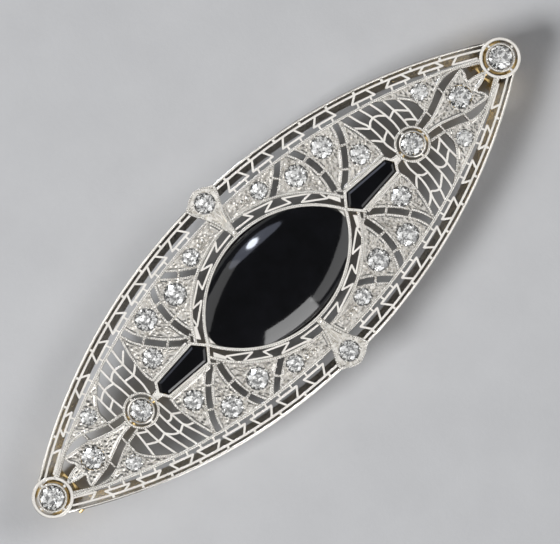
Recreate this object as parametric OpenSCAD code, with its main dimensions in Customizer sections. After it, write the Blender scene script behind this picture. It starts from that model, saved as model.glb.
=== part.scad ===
// Openwork brooch of long pointed-oval outline, with a cabochon, two tablets, round stones,
// a hinged pin stem and a turning safety catch. X runs along the length, Y across, Z up from
// the table to the face. Everything drawn in the first quadrant is mirrored into the others.

/* [Outline] */
// Length over the two end collets
overall_l = 70.4; // [60:0.1:85]
// Distance of the rim's outer edge from the long axis
rim_apex = 11.75; // [10:0.05:14]
// Radius of the rim's two long arcs
rim_r = 62.3; // [56:0.1:75]
// Distance of the side ornaments' tips from the long axis
ornament_tip = 12.6; // [12:0.05:14]

/* [Heights] */
// Height of the pin's axis above the table
pin_z = 1.7; // [1.2:0.1:3]
// Height of the frame's back edge
back_z = 4.0; // [3.6:0.1:6]
// Height of the gallery wall's top
wall_top = 6.2; // [5.5:0.1:8]
// Height of the pierced plates' faces
face_z = 6.5; // [6:0.1:8.5]
// Thickness of the pierced plates
plate_t = 0.8; // [0.5:0.1:1.2]
// Height of the cabochon's top
dome_z = 9.6; // [8:0.1:12]

/* [Wires] */
// Diameter of the round rim wire
rim_wire_d = 0.3; // [0.2:0.05:0.5]
// Width of the milgrained rails
rail_w = 0.3; // [0.2:0.05:0.5]
// Width of the dovetail wires
border_w = 0.24; // [0.12:0.02:0.3]
// Width of the filigree wires
filigree_w = 0.24; // [0.12:0.02:0.3]

/* [Stones] */
// Radius of the end diamonds
end_stone_r = 1.3; // [1:0.05:1.6]
// Radius of the diamonds in the inner collets
inner_stone_r = 1.2; // [0.9:0.05:1.5]
// Radius of the diamonds in the tulip plates
tulip_stone_r = 1.25; // [0.9:0.05:1.4]
// Radius of the diamonds in the leaf plates
leaf_stone_r = 0.92; // [0.7:0.01:1]
// Radius of the diamonds in the side ornaments
side_stone_r = 1.1; // [0.8:0.05:1.3]

/* [Pin and catch] */
// Radius of the pin stem
stem_r = 0.45; // [0.35:0.05:0.6]
// Radius of the hinge cheeks and of the catch's hook
cheek_r = 1.7; // [1.4:0.05:2]
// Reach of the catch's thumb lever from the pin's axis
lever_l = 3.35; // [2.5:0.05:4]

/* [Hidden] */
arc_fn = 240;
small_fn = 48;
joint_gap = 0.005;
run_gap = 0.05;
over = 0.1;

rim_sweep = 64;
wall_t = 0.3;
wall_lean = 1.0;
rail_rise = 0.1;
end_ring_r = 2.2;
end_ring_wall = 0.33;
end_x = overall_l / 2 - end_ring_r;
inner_ring_r = 1.95;
inner_ring_wall = 0.25;
inner_x = 20;
plate_z = face_z - plate_t;
collet_z = face_z + 0.4;
ornament_z = face_z - 0.45;
hole_gap = 0.03;
set_depth = 0.12;

outer_wire_depth = 0.68;
outer_wire_w = 0.24;
spacer_w = 0.3;
spacer_pitch = 3.3;
neck_w = 1.3;
base_w = 2.7;
base_gap = 0.36;
last_base_depth = 1.45;

rail_apex = 9.45;
rail_r = 66;
bezel_apex = 6.2;
bezel_r = 11.7;
bezel_wall = 0.33;
bezel_rise = 0.5;
ledge_w = 0.6;
ledge_drop = 0.2;
ledge_t = 0.4;
mid_apex = 7.7;
mid_r = 12.6;
tablet_drop = 0.4;
tablet_rise = 0.3;
tablet_bevel = 0.4;

hinge_x = 32.2;
plate_bottom = back_z - 0.6;
plate_l = 3.7;
cheek_in = 1.1;
cheek_out = 1.9;
rivet_r = 0.5;
rivet_head = 0.25;
barrel_r = 1.2;
shoulder_r = 0.62;
shoulder_x = 30.3;
straight_x = 28;
taper_x = -27.5;
tip_x = -34.3;
tip_r = 0.08;

catch_x = -32.4;
catch_half = 1.1;
lever_t = 0.6;
lever_h = 0.7;
tab_r = 0.55;
rotor_r = 1.05;
rotor_bore = 0.4;
hook_gap = 0.5;

platinum = [0.82, 0.82, 0.8];
gold = [0.85, 0.66, 0.32];
onyx = [0.03, 0.03, 0.04];
diamond = [0.9, 0.93, 0.96, 0.6];

petal_stones = [[15.3, 3.1, 1.1], [12.95, 6.45, 1.2], [8.9, 6.2, 1.2], [5.0, 7.82, 0.95]];
leaf_stone_at = [24.4, 3.4];
tulip_stone_at = [27.1, 0];
side_stone_at = [0, 10.85];

// Middles of the dovetails along X in each corner, cut by hand and so never quite alike.
ne_dovetails = [4.15, 7.5, 11.55, 15.5, 20.1, 23.95, 27.45];
nw_dovetails = [4.8, 8.4, 12.0, 15.65, 19.1, 23.0, 27.1];
se_dovetails = [4.05, 7.4, 10.95, 14.9, 18.4, 22.65, 26.4];
sw_dovetails = [4.4, 8.1, 11.5, 14.9, 18.0, 21.1, 24.7, 28.0];

// The tablet's outline: inner tip, widest corner, far corner, far tip, and back.
tablet = [[10.4, 0], [11.45, 1.25], [16.75, 0.9], [17.3, 0], [16.75, -0.9], [11.45, -1.25]];

ornament_side = [
    [0, ornament_tip], [0.9, ornament_tip - 0.3], [1.55, 11.9], [2.05, 11.55], [1.85, 10.7],
    [1.35, 9.8], [0.95, 9.0], [0.62, 8.0], [0.42, 7.0], [0.3, 6.22]
];
tulip_side = [
    [21.9, 0.38], [23.5, 0.62], [25.0, 1.15], [26.5, 1.72], [28.0, 1.98], [29.2, 2.1],
    [29.25, 1.4], [28.9, 0.75], [29.6, 0.6], [30.3, 0.4], [30.9, 0.12]
];
leaf_side = [
    [19.6, 6.6], [20.5, 5.75], [21.6, 4.95], [22.4, 4.2], [23.1, 3.3], [23.4, 2.5],
    [23.6, 1.75], [25.0, 2.25], [26.0, 2.65], [27.2, 2.95], [28.3, 3.0]
];
leaf_stem = [
    [21.75, 1.15], [23.5, 1.5], [25.0, 2.1], [26.0, 2.55], [27.3, 2.8], [28.5, 2.6],
    [29.5, 2.1], [31.2, 1.1]
];
petal_edge = [[17.0, 1.25], [17.2, 2.2], [17.1, 3.6], [16.9, 5.0], [16.6, 6.2], [16.2, 7.5]];
channels = [
    [[15.75, 7.75], [15.35, 6.2], [14.65, 4.95], [13.5, 3.45], [12.4, 2.4], [11.65, 1.85]],
    [[9.95, 8.95], [10.6, 7.6], [11.0, 6.2], [11.12, 4.8], [11.0, 3.4], [10.75, 2.35]],
    [[8.9, 9.0], [7.8, 7.95], [6.6, 7.0], [5.3, 6.2]]
];
channel_w = 0.62;
bridges = [
    [[14.35, 5.25], [15.15, 4.8]], [[12.8, 3.3], [13.5, 2.75]], [[10.3, 6.65], [11.4, 6.85]],
    [[10.6, 4.5], [11.7, 4.5]], [[7.5, 7.1], [6.9, 7.85]]
];
bridge_w = 0.28;

zigzag = [
    [0.45, 6.62], [2.65, 6.35], [2.05, 7.15], [5.2, 6.1], [3.95, 5.75], [6.5, 4.6], [6.2, 5.55],
    [8.7, 3.85], [7.4, 3.8], [9.6, 2.2], [9.4, 3.15], [10.8, 1.75]
];
zigzag_w = 0.22;

// Each corner's openwork: five ribs, then the arches that join them.
ne_wires = [
    [[17.2, 7.3], [17.67, 5.5], [18.0, 4.6], [18.1, 3.0], [18.0, 1.9], [18.2, 0.7]],
    [[18.4, 7.0], [18.8, 5.6], [18.97, 4.8], [19.12, 3.0], [19.05, 1.6]],
    [[19.65, 6.6], [20.0, 5.0], [20.15, 3.8], [20.17, 2.8], [20.0, 1.6]],
    [[20.95, 5.9], [21.1, 4.2], [21.13, 2.8], [21.0, 1.3]],
    [[22.15, 4.8], [22.27, 3.0], [22.15, 1.9], [22.1, 1.25]],
    [[16.8, 5.45], [17.4, 4.85], [17.93, 4.35], [18.45, 4.75], [19.0, 4.87], [19.5, 4.67], [20.1, 4.1]],
    [[20.15, 3.6], [20.65, 3.77], [21.13, 3.87], [21.6, 3.43], [22.2, 2.8]],
    [[17.0, 3.4], [17.47, 2.97], [18.05, 2.35], [18.5, 2.6], [19.1, 2.85]],
    [[21.13, 2.4], [21.5, 2.2], [22.1, 1.6]]
];
nw_wires = [
    [[17.7, 7.2], [17.93, 5.5], [18.0, 4.0], [17.95, 2.0], [18.15, 0.7]],
    [[18.8, 6.8], [19.05, 5.2], [19.13, 3.8], [19.1, 1.6]],
    [[20.05, 6.5], [20.08, 4.2], [19.95, 3.1], [19.85, 1.6]],
    [[21.15, 5.8], [21.27, 4.2], [21.33, 3.0], [21.2, 1.4]],
    [[22.33, 4.6], [22.33, 3.0], [22.3, 1.3]],
    [[17.0, 5.75], [17.5, 5.3], [18.0, 4.83], [18.6, 4.93], [19.1, 4.97], [19.6, 4.8], [20.08, 4.4]],
    [[20.1, 4.05], [20.67, 4.2], [21.2, 4.22], [21.75, 4.03], [22.3, 3.65]],
    [[17.0, 4.0], [17.5, 3.55], [18.0, 3.25], [18.5, 3.3], [19.1, 3.4]],
    [[21.33, 2.85], [21.8, 2.63], [22.33, 2.3]]
];
se_wires = [
    [[17.2, 7.3], [17.5, 5.8], [17.9, 4.5], [18.08, 3.2], [18.0, 1.6], [18.2, 0.7]],
    [[18.2, 7.0], [18.65, 5.8], [18.95, 4.5], [19.1, 3.2], [19.05, 1.6]],
    [[19.6, 6.7], [19.9, 5.8], [20.08, 4.5], [20.13, 3.2], [20.1, 1.6]],
    [[21.0, 5.9], [21.25, 4.0], [21.33, 2.9], [21.2, 1.4]],
    [[22.4, 4.6], [22.4, 2.6], [22.5, 1.35]],
    [[16.7, 5.85], [17.3, 5.5], [17.9, 4.95], [18.35, 5.25], [18.8, 5.35], [19.35, 5.0], [20.0, 4.45]],
    [[20.13, 3.3], [20.4, 3.8], [20.87, 4.03], [21.35, 3.83], [21.87, 3.43], [22.4, 3.1]],
    [[17.05, 3.7], [17.6, 3.05], [18.07, 2.7], [18.5, 3.1], [19.1, 3.25]],
    [[21.33, 2.43], [21.87, 2.1], [22.45, 1.65]]
];
sw_wires = [
    [[16.9, 7.2], [17.47, 5.3], [17.87, 4.0], [18.0, 2.5], [18.15, 0.7]],
    [[18.2, 6.9], [18.65, 4.8], [18.87, 3.4], [18.93, 1.6]],
    [[19.2, 6.6], [19.7, 4.4], [19.93, 3.2], [19.93, 1.6]],
    [[20.5, 5.9], [20.87, 4.1], [21.0, 3.0], [21.05, 1.4]],
    [[22.35, 4.4], [22.1, 2.4], [22.0, 1.25]],
    [[16.9, 4.75], [17.5, 4.55], [17.93, 4.15], [18.6, 4.43], [19.3, 4.15], [19.95, 3.4]],
    [[19.95, 3.4], [20.45, 3.57], [21.0, 3.55], [21.5, 3.3], [22.15, 2.9]],
    [[17.05, 3.1], [17.6, 2.77], [18.0, 2.5], [18.4, 2.83], [18.9, 2.77]],
    [[22.05, 1.35], [21.5, 1.75], [21.0, 2.05]]
];

// Curves.

function between(a, b, c, d, t) =
    0.5 * (2 * b + (c - a) * t + (2 * a - 5 * b + 4 * c - d) * t * t
           + (3 * b - a - 3 * c + d) * t * t * t);

function smooth(p, steps = 4) = [
    for (i = [0 : len(p) - 2], k = [0 : steps - 1])
        between(p[max(i - 1, 0)], p[i], p[i + 1], p[min(i + 2, len(p) - 1)], k / steps),
    p[len(p) - 1]
];

function beside(a, b, w) = let (d = b - a) [-d[1], d[0]] * w / (2 * norm(d));

// The distance along the rim from its apex to the point with a given X.
function on_rim(x) = rim_r * asin(x / rim_r) * PI / 180;

// The point at distance s along the rim from its apex and at a given depth inside it.
function in_rim(s, depth) =
    let (a = s / rim_r * 180 / PI)
    [(rim_r - depth) * sin(a), rim_apex - rim_r + (rim_r - depth) * cos(a)];

// How far inside the rim the inner rail's outer edge lies at distance s along the rim.
function rail_depth(s) =
    let (a = s / rim_r * 180 / PI, apart = (rim_apex - rim_r) - (rail_apex - rail_r))
    rim_r + apart * cos(a) - sqrt(rail_r * rail_r - pow(apart * sin(a), 2));

// Flat shapes in the first quadrant.

module lens(apex, r) {
    intersection() {
        translate([0, apex - r]) circle(r, $fn = arc_fn);
        translate([0, r - apex]) circle(r, $fn = arc_fn);
    }
}

module wire(points, w) {
    for (i = [0 : len(points) - 2]) {
        side = beside(points[i], points[i + 1], w);
        polygon([points[i] + side, points[i + 1] + side, points[i + 1] - side, points[i] - side]);
    }
    for (p = points) translate(p) circle(d = w, $fn = 12);
}

module ornament_outline() {
    half = smooth(ornament_side);
    polygon(concat(half, [for (i = [len(half) - 1 : -1 : 0]) [-half[i][0], half[i][1]]]));
}

module tulip_outline() {
    half = smooth(tulip_side);
    polygon(concat(half, [for (i = [len(half) - 1 : -1 : 0]) [half[i][0], -half[i][1]]]));
}

module frame_outline() {
    offset(delta = rail_w) polygon(tablet);
}

module inner_circle() {
    translate([inner_x, 0]) circle(inner_ring_r, $fn = small_fn);
}

module end_circle() {
    translate([end_x, 0]) circle(end_ring_r, $fn = small_fn);
}

module inside_rail() {
    lens(rail_apex - rail_w, rail_r - rail_w);
}

// Placing and thickening.

module quadrant(x, y) {
    mirror([x < 0 ? 1 : 0, 0, 0]) mirror([0, y < 0 ? 1 : 0, 0]) children();
}

module slab(z0, z1) {
    translate([0, 0, z0]) linear_extrude(z1 - z0) offset(delta = -joint_gap) children();
}

// An exact ring between two lens outlines.
module lens_solid(apex, r, z0, z1) {
    intersection() {
        translate([0, apex - r, z0]) cylinder(h = z1 - z0, r = r, $fn = arc_fn);
        translate([0, r - apex, z0 - over]) cylinder(h = z1 - z0 + 2 * over, r = r, $fn = arc_fn);
    }
}

module lens_ring(apex, r, w, z0, z1) {
    difference() {
        lens_solid(apex, r, z0, z1);
        lens_solid(apex - w, r - w, z0 - over, z1 + over);
    }
}

module end_cutter() {
    for (x = [-end_x, end_x])
        translate([x, 0, 0]) cylinder(h = 2 * face_z, r = end_ring_r + 2 * joint_gap, $fn = small_fn);
}

module ornament_cutter(z0) {
    for (y = [1, -1]) quadrant(1, y)
        translate([0, 0, z0]) linear_extrude(2 * face_z) offset(delta = joint_gap) ornament_outline();
}

module north_half() {
    intersection() {
        children();
        translate([-overall_l, joint_gap, -over]) cube([2 * overall_l, overall_l, 2 * dome_z]);
    }
}

// Frame.

module gallery() {
    color(platinum) difference() {
        translate([0, rim_apex - rim_r, 0])
            rotate([0, 0, 90 - rim_sweep / 2]) rotate_extrude(angle = rim_sweep, $fn = arc_fn)
                polygon([
                    [rim_r, wall_top], [rim_r - wall_t, wall_top],
                    [rim_r - wall_t - wall_lean, back_z], [rim_r - wall_lean, back_z]
                ]);
        end_cutter();
        ornament_cutter(ornament_z);
    }
}

module rim_wires() {
    color(platinum) for (y = [1, -1]) quadrant(1, y) difference() {
        translate([0, rim_apex - rim_r, wall_top + rim_wire_d / 2])
            rotate([0, 0, 90 - rim_sweep / 2]) rotate_extrude(angle = rim_sweep, $fn = arc_fn)
                translate([rim_r - rim_wire_d / 2, 0]) circle(d = rim_wire_d, $fn = small_fn);
        end_cutter();
        ornament_cutter(ornament_z);
    }
}

module inner_rail() {
    color(platinum) difference() {
        north_half() lens_ring(rail_apex, rail_r, rail_w, plate_z - rail_rise, face_z + rail_rise);
        end_cutter();
        ornament_cutter(ornament_z);
    }
}

module dovetail(s) {
    base = rail_depth(s) - base_gap - border_w / 2;
    tips = [in_rim(s - base_w / 2, base), in_rim(s + base_w / 2, base)];
    wire([in_rim(s - neck_w / 2, outer_wire_depth), tips[0], tips[1],
          in_rim(s + neck_w / 2, outer_wire_depth)], border_w);
    for (at = [-0.3, 0.3])
        wire([in_rim(s + at * base_w, base), in_rim(s + at * base_w, base + base_gap + border_w)],
             border_w);
}

// Dovetails at the given places along X, and half a one whose first corner is at last_x.
module dovetail_border(dovetails, last_x) {
    last = on_rim(last_x);
    border_l = on_rim(end_x);
    color(platinum) slab(wall_top + joint_gap, face_z) difference() {
        intersection() {
            union() {
                wire([for (s = [0 : 1.1 : border_l]) in_rim(s, outer_wire_depth)], outer_wire_w);
                for (x = dovetails) dovetail(on_rim(x));
                wire([in_rim(last + (base_w - neck_w) / 2, outer_wire_depth),
                      in_rim(last, last_base_depth), in_rim(last + base_w, last_base_depth)],
                     border_w);
                for (s = [spacer_pitch : spacer_pitch : border_l - 2])
                    wire([in_rim(s, 0.1), in_rim(s, outer_wire_depth)], spacer_w);
            }
            lens(rim_apex - rim_wire_d, rim_r - rim_wire_d);
            translate([0, joint_gap]) square(overall_l);
        }
        lens(rail_apex, rail_r);
        ornament_outline();
        end_circle();
    }
}

// Pierced plates.

module stone_holes(stones) {
    for (s = stones) translate([s[0], s[1]]) circle(s[2] + hole_gap, $fn = small_fn);
}

module petal_panel() {
    color(platinum) slab(plate_z, face_z) difference() {
        intersection() {
            union() {
                difference() {
                    polygon(concat([[0.2, 9.8], [0.2, 6], [10.85, 1.95], [11.3, 1.4]],
                                   smooth(petal_edge), [[16.2, 9.8]]));
                    for (c = channels) wire(smooth(c), channel_w);
                }
                for (b = bridges) wire(b, bridge_w);
            }
            inside_rail();
        }
        lens(mid_apex, mid_r);
        frame_outline();
        ornament_outline();
        stone_holes(petal_stones);
    }
}

module leaf_plate() {
    color(platinum) slab(plate_z, face_z) difference() {
        intersection() {
            union() {
                polygon(concat(smooth(leaf_side), [[28.6, 4], [19.6, 8]]));
                wire(smooth(leaf_stem), rail_w);
                for (x = [23.45, 26.1]) wire([[x, 2.5], [x, 0.62]], border_w);
            }
            inside_rail();
        }
        tulip_outline();
        inner_circle();
        end_circle();
        stone_holes([[leaf_stone_at[0], leaf_stone_at[1], leaf_stone_r]]);
    }
}

module tulip_plate() {
    color(platinum) slab(plate_z, face_z + 0.05) difference() {
        tulip_outline();
        inner_circle();
        end_circle();
        stone_holes([[tulip_stone_at[0], tulip_stone_at[1], tulip_stone_r]]);
    }
}

module side_ornament() {
    color(platinum) slab(ornament_z + joint_gap, face_z + 0.25) difference() {
        ornament_outline();
        lens(bezel_apex, bezel_r);
        stone_holes([[side_stone_at[0], side_stone_at[1], side_stone_r]]);
    }
}

module wing_filigree(wires) {
    color(platinum) slab(plate_z + 0.1, face_z) difference() {
        intersection() {
            union() for (w = wires) wire(smooth(w), filigree_w);
            inside_rail();
        }
        polygon(concat([[11, 1.25]], smooth(petal_edge), [[16.2, 9.8], [11, 9.8]]));
        polygon(concat(smooth(leaf_side), [[28.6, 4], [19.6, 8]]));
        wire(smooth(leaf_stem), rail_w);
        frame_outline();
        inner_circle();
    }
}

// Settings.

module marquise_bezel() {
    color(platinum) union() {
        lens_ring(bezel_apex, bezel_r, bezel_wall, back_z, face_z + bezel_rise);
        lens_ring(bezel_apex - bezel_wall, bezel_r - bezel_wall, ledge_w,
                  plate_z - ledge_drop - ledge_t, plate_z - ledge_drop);
    }
}

module marquise_border() {
    color(platinum) slab(plate_z + 0.1, face_z) for (x = [1, -1]) quadrant(x, 1) difference() {
        intersection() {
            union() {
                wire(zigzag, zigzag_w);
                polygon([[9.6, 2.3], [10.3, 0.9], [11.1, 1.9], [10.3, 2.6]]);
            }
            lens(mid_apex - rail_w, mid_r - rail_w);
        }
        lens(bezel_apex, bezel_r);
        frame_outline();
        ornament_outline();
    }
}

module marquise_rail() {
    color(platinum) difference() {
        north_half() lens_ring(mid_apex, mid_r, rail_w, plate_z - rail_rise, face_z + rail_rise);
        ornament_cutter(ornament_z);
        for (x = [1, -1]) quadrant(x, 1)
            linear_extrude(2 * face_z) offset(delta = joint_gap) frame_outline();
    }
}

module onyx_frame() {
    color(platinum) slab(plate_z - 1, face_z + 0.15) difference() {
        union() {
            frame_outline();
            polygon([[17.2, 0.5], [18.4, 0.3], [18.4, -0.3], [17.2, -0.5]]);
        }
        polygon(tablet);
        lens(bezel_apex, bezel_r);
        inner_circle();
    }
}

module tube(r_out, r_in, z0, z1) {
    difference() {
        translate([0, 0, z0]) cylinder(h = z1 - z0, r = r_out, $fn = small_fn);
        translate([0, 0, z0 - over]) cylinder(h = z1 - z0 + 2 * over, r = r_in, $fn = small_fn);
    }
}

// A stone's bezel held inside an outer ring by bridges.
module collet(ring_r, ring_wall, stone_r) {
    bezel_out = stone_r + 0.25;
    difference() {
        union() {
            tube(ring_r, ring_r - ring_wall, back_z, face_z + 0.05);
            tube(bezel_out, stone_r + hole_gap, plate_z - 0.5, collet_z);
            for (a = [0 : 90 : 270]) rotate([0, 0, a])
                translate([bezel_out - 0.15, -0.15, plate_z])
                    cube([ring_r - ring_wall - bezel_out + 0.3, 0.3, plate_t - 0.1]);
        }
        translate([0, 0, back_z - over])
            cylinder(h = collet_z, r = stone_r + hole_gap, $fn = small_fn);
    }
}

module end_collet() {
    color(platinum) translate([end_x, 0, 0]) collet(end_ring_r, end_ring_wall, end_stone_r);
}

module inner_collet() {
    color(platinum) translate([inner_x, 0, 0]) collet(inner_ring_r, inner_ring_wall, inner_stone_r);
}

// Stones.

module onyx_cabochon() {
    seat = plate_z - ledge_drop + joint_gap;
    half_l = 9.55;
    edge_apex = bezel_apex - bezel_wall - hole_gap;
    edge_r = bezel_r - bezel_wall - hole_gap;
    rise = dome_z - face_z - 0.3;
    across_r = (edge_apex * edge_apex + rise * rise) / (2 * rise);
    along_r = (half_l * half_l + rise * rise) / (2 * rise);
    color(onyx) intersection() {
        lens_solid(edge_apex, edge_r, seat, dome_z + over);
        cylinder(h = 2 * dome_z, r = half_l, $fn = arc_fn);
        translate([0, 0, dome_z - across_r]) rotate([0, 90, 0]) rotate_extrude($fn = arc_fn)
            intersection() {
                translate([across_r - along_r, 0]) circle(along_r, $fn = arc_fn);
                translate([0, -half_l - 1]) square([across_r + 1, 2 * half_l + 2]);
            }
    }
}

module onyx_tablet() {
    color(onyx) hull() {
        slab(plate_z - tablet_drop, face_z) offset(delta = -hole_gap) polygon(tablet);
        slab(face_z, face_z + tablet_rise) offset(delta = -tablet_bevel) polygon(tablet);
    }
}

module brilliant(r) {
    rotate_extrude($fn = small_fn)
        polygon([[0, -0.82 * r], [r, 0], [r, 0.05], [0.52 * r, 0.38 * r], [0, 0.38 * r]]);
}

module stones(list, z) {
    color(diamond) for (s = list) translate([s[0], s[1], z]) brilliant(s[2]);
}

module petal_diamonds() {
    stones(petal_stones, face_z - set_depth);
}

module leaf_diamond() {
    stones([[leaf_stone_at[0], leaf_stone_at[1], leaf_stone_r]], face_z - set_depth);
}

module tulip_diamond() {
    stones([[tulip_stone_at[0], tulip_stone_at[1], tulip_stone_r]], face_z - set_depth);
}

module side_diamonds() {
    for (y = [1, -1]) quadrant(1, y)
        stones([[side_stone_at[0], side_stone_at[1], side_stone_r]], face_z + set_depth);
}

module inner_diamond() {
    stones([[inner_x, 0, inner_stone_r]], collet_z - set_depth);
}

module end_diamond() {
    stones([[end_x, 0, end_stone_r]], collet_z - set_depth);
}

// Hinge, pin and catch.

module across(r, y0, y1) {
    translate([hinge_x, y1, pin_z]) rotate([90, 0, 0]) cylinder(h = y1 - y0, r = r, $fn = small_fn);
}

module hinge_bracket() {
    color(gold) difference() {
        union() {
            translate([end_x - 2.3, -cheek_out, plate_bottom])
                cube([plate_l, 2 * cheek_out, back_z - plate_bottom - joint_gap]);
            for (y = [cheek_in, -cheek_out]) {
                across(cheek_r, y, y + cheek_out - cheek_in);
                translate([hinge_x - cheek_r, y, pin_z])
                    cube([2 * cheek_r, cheek_out - cheek_in, plate_bottom - pin_z + over]);
            }
        }
        across(rivet_r + 0.01, -2 * cheek_out, 2 * cheek_out);
    }
}

module hinge_rivet() {
    end_y = cheek_out + rivet_head;
    color(gold) union() {
        across(rivet_r, -end_y, end_y);
        across(rivet_r + 0.3, cheek_out + joint_gap, end_y);
        across(rivet_r + 0.3, -end_y, -cheek_out - joint_gap);
    }
}

module along(r, x0, x1) {
    translate([x0, 0, pin_z]) rotate([0, 90, 0]) cylinder(h = x1 - x0, r = r, $fn = small_fn);
}

module cone(r0, r1, x0, x1) {
    translate([x0, 0, pin_z]) rotate([0, 90, 0])
        cylinder(h = x1 - x0, r1 = r0, r2 = r1, $fn = small_fn);
}

module pin_stem() {
    color(gold) difference() {
        union() {
            across(barrel_r, run_gap - cheek_in, cheek_in - run_gap);
            along(shoulder_r, shoulder_x, hinge_x);
            cone(stem_r, shoulder_r, straight_x, shoulder_x);
            along(stem_r, taper_x, straight_x);
            cone(tip_r, stem_r, tip_x, taper_x);
        }
        across(rivet_r + run_gap, -cheek_out, cheek_out);
    }
}

module catch_body() {
    slit = lever_t / 2 + run_gap;
    color(gold) difference() {
        union() {
            translate([-end_x - 1.4, -cheek_r, plate_bottom])
                cube([plate_l, 2 * cheek_r, back_z - plate_bottom - joint_gap]);
            along(cheek_r, catch_x - catch_half, catch_x + catch_half);
            translate([catch_x - catch_half, -cheek_r, pin_z])
                cube([2 * catch_half, 2 * cheek_r, plate_bottom - pin_z + over]);
        }
        along(rotor_r + run_gap, catch_x - 2 * catch_half, catch_x + 2 * catch_half);
        translate([catch_x - slit, -2 * cheek_r, -cheek_r])
            cube([2 * slit, 4 * cheek_r, plate_bottom + cheek_r]);
        translate([catch_x - 2 * catch_half, -hook_gap, -cheek_r])
            cube([4 * catch_half, 2 * hook_gap, cheek_r + pin_z]);
    }
}

module catch_rotor() {
    color(gold) difference() {
        union() {
            along(rotor_r, catch_x - catch_half, catch_x + catch_half);
            along(cheek_r - 0.1, catch_x - lever_t / 2, catch_x + lever_t / 2);
            translate([catch_x - lever_t / 2, tab_r - lever_l, pin_z - lever_h / 2])
                cube([lever_t, lever_l - tab_r - rotor_r + 0.2, lever_h]);
            translate([0, tab_r - lever_l, 0])
                along(tab_r, catch_x - lever_t / 2, catch_x + lever_t / 2);
        }
        along(rotor_bore, catch_x - 2 * catch_half, catch_x + 2 * catch_half);
        translate([catch_x - 2 * catch_half, -rotor_bore, -cheek_r])
            cube([4 * catch_half, 2 * rotor_bore, cheek_r + pin_z]);
    }
}

// Nodes.

quadrant(1, 1) gallery();  // gallery_north
quadrant(1, -1) gallery();  // gallery_south
rim_wires();
quadrant(1, 1) dovetail_border(ne_dovetails, 29.6);  // dovetail_border_ne
quadrant(-1, 1) dovetail_border(nw_dovetails, 29.6);  // dovetail_border_nw
quadrant(1, -1) dovetail_border(se_dovetails, 29.3);  // dovetail_border_se
quadrant(-1, -1) dovetail_border(sw_dovetails, 30.1);  // dovetail_border_sw
quadrant(1, 1) inner_rail();  // inner_rail_north
quadrant(1, -1) inner_rail();  // inner_rail_south
quadrant(1, 1) petal_panel();  // petal_panel_ne
quadrant(-1, 1) petal_panel();  // petal_panel_nw
quadrant(1, -1) petal_panel();  // petal_panel_se
quadrant(-1, -1) petal_panel();  // petal_panel_sw
quadrant(1, 1) leaf_plate();  // leaf_plate_ne
quadrant(-1, 1) leaf_plate();  // leaf_plate_nw
quadrant(1, -1) leaf_plate();  // leaf_plate_se
quadrant(-1, -1) leaf_plate();  // leaf_plate_sw
quadrant(1, 1) wing_filigree(ne_wires);  // wing_filigree_ne
quadrant(-1, 1) wing_filigree(nw_wires);  // wing_filigree_nw
quadrant(1, -1) wing_filigree(se_wires);  // wing_filigree_se
quadrant(-1, -1) wing_filigree(sw_wires);  // wing_filigree_sw
quadrant(1, 1) tulip_plate();  // tulip_plate_east
quadrant(-1, 1) tulip_plate();  // tulip_plate_west
quadrant(1, 1) side_ornament();  // side_ornament_north
quadrant(1, -1) side_ornament();  // side_ornament_south
marquise_bezel();
quadrant(1, 1) marquise_border();  // marquise_border_north
quadrant(1, -1) marquise_border();  // marquise_border_south
quadrant(1, 1) marquise_rail();  // marquise_rail_north
quadrant(1, -1) marquise_rail();  // marquise_rail_south
quadrant(1, 1) onyx_frame();  // onyx_frame_east
quadrant(-1, 1) onyx_frame();  // onyx_frame_west
quadrant(1, 1) inner_collet();  // inner_collet_east
quadrant(-1, 1) inner_collet();  // inner_collet_west
quadrant(1, 1) end_collet();  // end_collet_east
quadrant(-1, 1) end_collet();  // end_collet_west
onyx_cabochon();
quadrant(1, 1) onyx_tablet();  // onyx_tablet_east
quadrant(-1, 1) onyx_tablet();  // onyx_tablet_west
quadrant(1, 1) petal_diamonds();  // petal_diamonds_ne
quadrant(-1, 1) petal_diamonds();  // petal_diamonds_nw
quadrant(1, -1) petal_diamonds();  // petal_diamonds_se
quadrant(-1, -1) petal_diamonds();  // petal_diamonds_sw
quadrant(1, 1) leaf_diamond();  // leaf_diamond_ne
quadrant(-1, 1) leaf_diamond();  // leaf_diamond_nw
quadrant(1, -1) leaf_diamond();  // leaf_diamond_se
quadrant(-1, -1) leaf_diamond();  // leaf_diamond_sw
quadrant(1, 1) tulip_diamond();  // tulip_diamond_east
quadrant(-1, 1) tulip_diamond();  // tulip_diamond_west
side_diamonds();
quadrant(1, 1) inner_diamond();  // inner_diamond_east
quadrant(-1, 1) inner_diamond();  // inner_diamond_west
quadrant(1, 1) end_diamond();  // end_diamond_east
quadrant(-1, 1) end_diamond();  // end_diamond_west
hinge_bracket();
hinge_rivet();
pin_stem();
catch_body();
catch_rotor();
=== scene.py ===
"""Looks of an openwork platinum brooch with onyx, diamonds and a gold pin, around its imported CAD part.

Lengths are in millimetres until a mesh is made, and metres after that. The CAD nodes keep their
shapes and get procedural materials. Raised borders, milgrain, grain beads, engraving and cut
stones are pieces made here, placed by the edges and the solids of the CAD nodes.
"""

import math
import random
from collections import Counter, namedtuple

import bpy
import numpy as np
from mathutils import Matrix, Vector
from mathutils.kdtree import KDTree


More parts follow.
